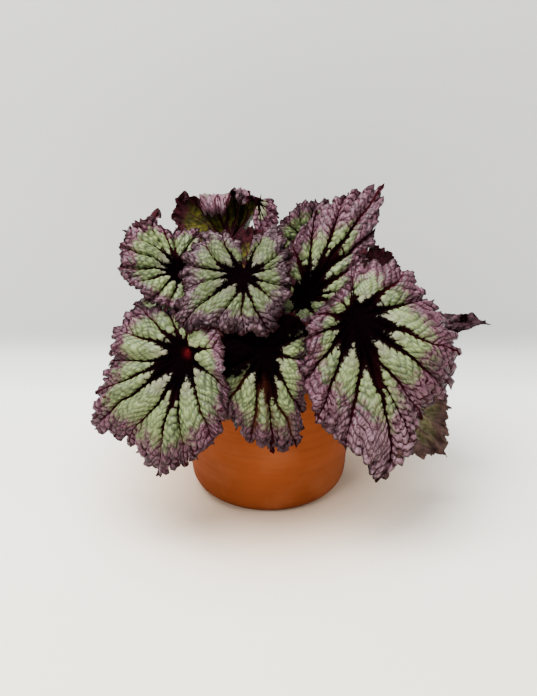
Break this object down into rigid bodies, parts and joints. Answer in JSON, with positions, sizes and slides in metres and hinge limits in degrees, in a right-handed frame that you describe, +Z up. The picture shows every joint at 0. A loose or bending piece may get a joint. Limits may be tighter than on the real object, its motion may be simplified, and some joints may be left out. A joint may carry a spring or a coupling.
{
  "type": "potted rex begonia",
  "caption": "Rex begonia with silvery green, plum-edged, dark-veined ruffled leaves on hairy red stalks, growing from a creeping rhizome in a plain round terracotta pot.",
  "frame": {"origin": "middle of the pot's flat foot, on the surface that it stands on", "axes": "+Z up along the pot's axis, +X to the viewer's right and -Y towards the viewer of the plant's front"},
  "size_m": [0.3253, 0.2697, 0.2569],
  "materials": {
    "terracotta": "matte",
    "potting_mix": "matte",
    "rhizome": "matte",
    "leaf": "satin"
  },
  "bodies": {
    "root": {"pot": "terracotta", "potting_mix": "potting_mix", "rhizome": "rhizome", "leaf_front_left": "leaf", "leaf_front_right": "leaf", "leaf_front_middle": "leaf", "leaf_crown": "leaf", "leaf_left_high": "leaf", "leaf_right_high": "leaf", "leaf_back_right_high": "leaf", "leaf_back_upright": "leaf", "leaf_young": "leaf", "leaf_right_curled": "leaf", "leaf_right_low": "leaf", "leaf_right_small": "leaf", "leaf_back_middle": "leaf", "leaf_back_right": "leaf", "leaf_back_left": "leaf"}
  },
  "joints": []
}
